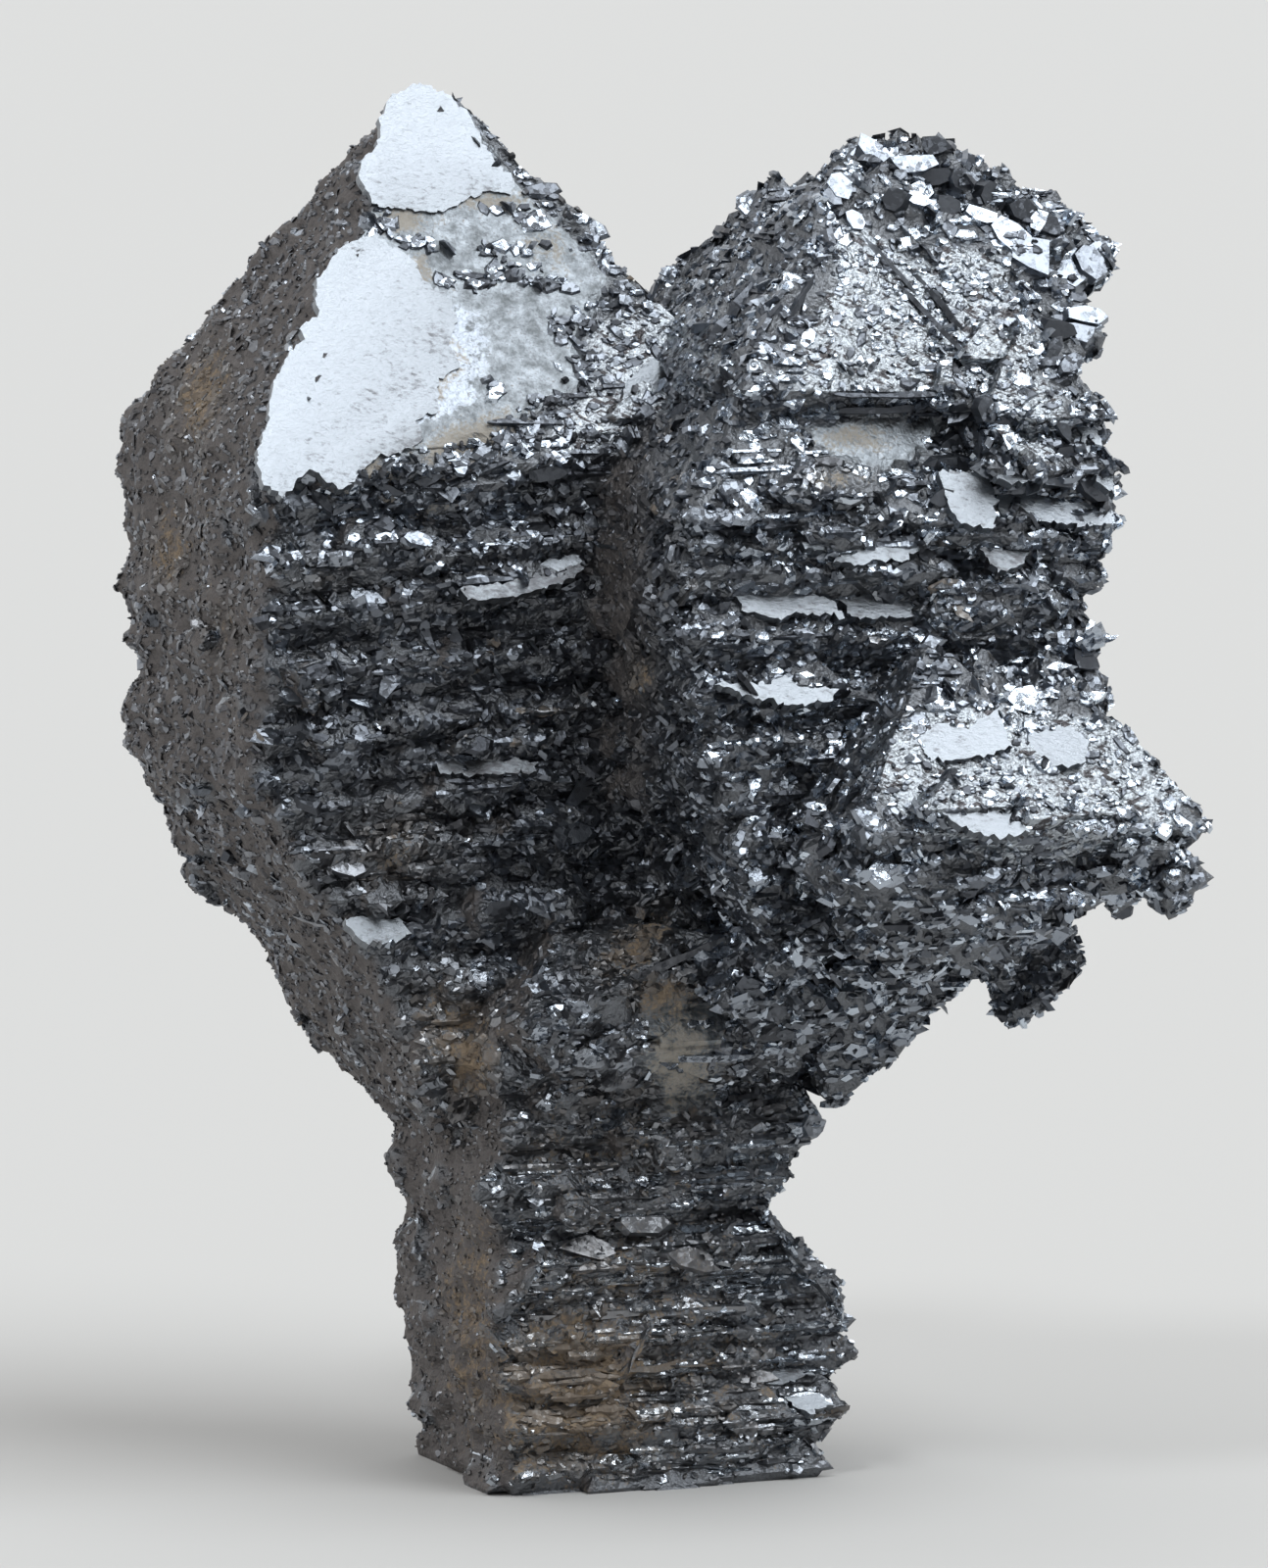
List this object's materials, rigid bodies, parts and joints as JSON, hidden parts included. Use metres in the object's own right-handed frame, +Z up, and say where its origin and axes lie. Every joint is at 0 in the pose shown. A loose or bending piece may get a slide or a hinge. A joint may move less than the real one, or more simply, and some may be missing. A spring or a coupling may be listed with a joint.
{
  "type": "hematite pseudomorph after magnetite",
  "caption": "Cluster of stepped octahedral crystals grown in parallel, standing on a flat break.",
  "frame": {"origin": "middle of the box, at the height of the flat break the cluster stands on", "axes": "+Z up, +X to the right of the front view, +Y away from the front view"},
  "size_m": [0.0234, 0.0176, 0.0296],
  "materials": {
    "hematite": "metallic lustre, stepped and striated, stained with limonite in the hollows"
  },
  "bodies": {
    "root": {"crystal_cluster": "hematite"}
  },
  "joints": []
}
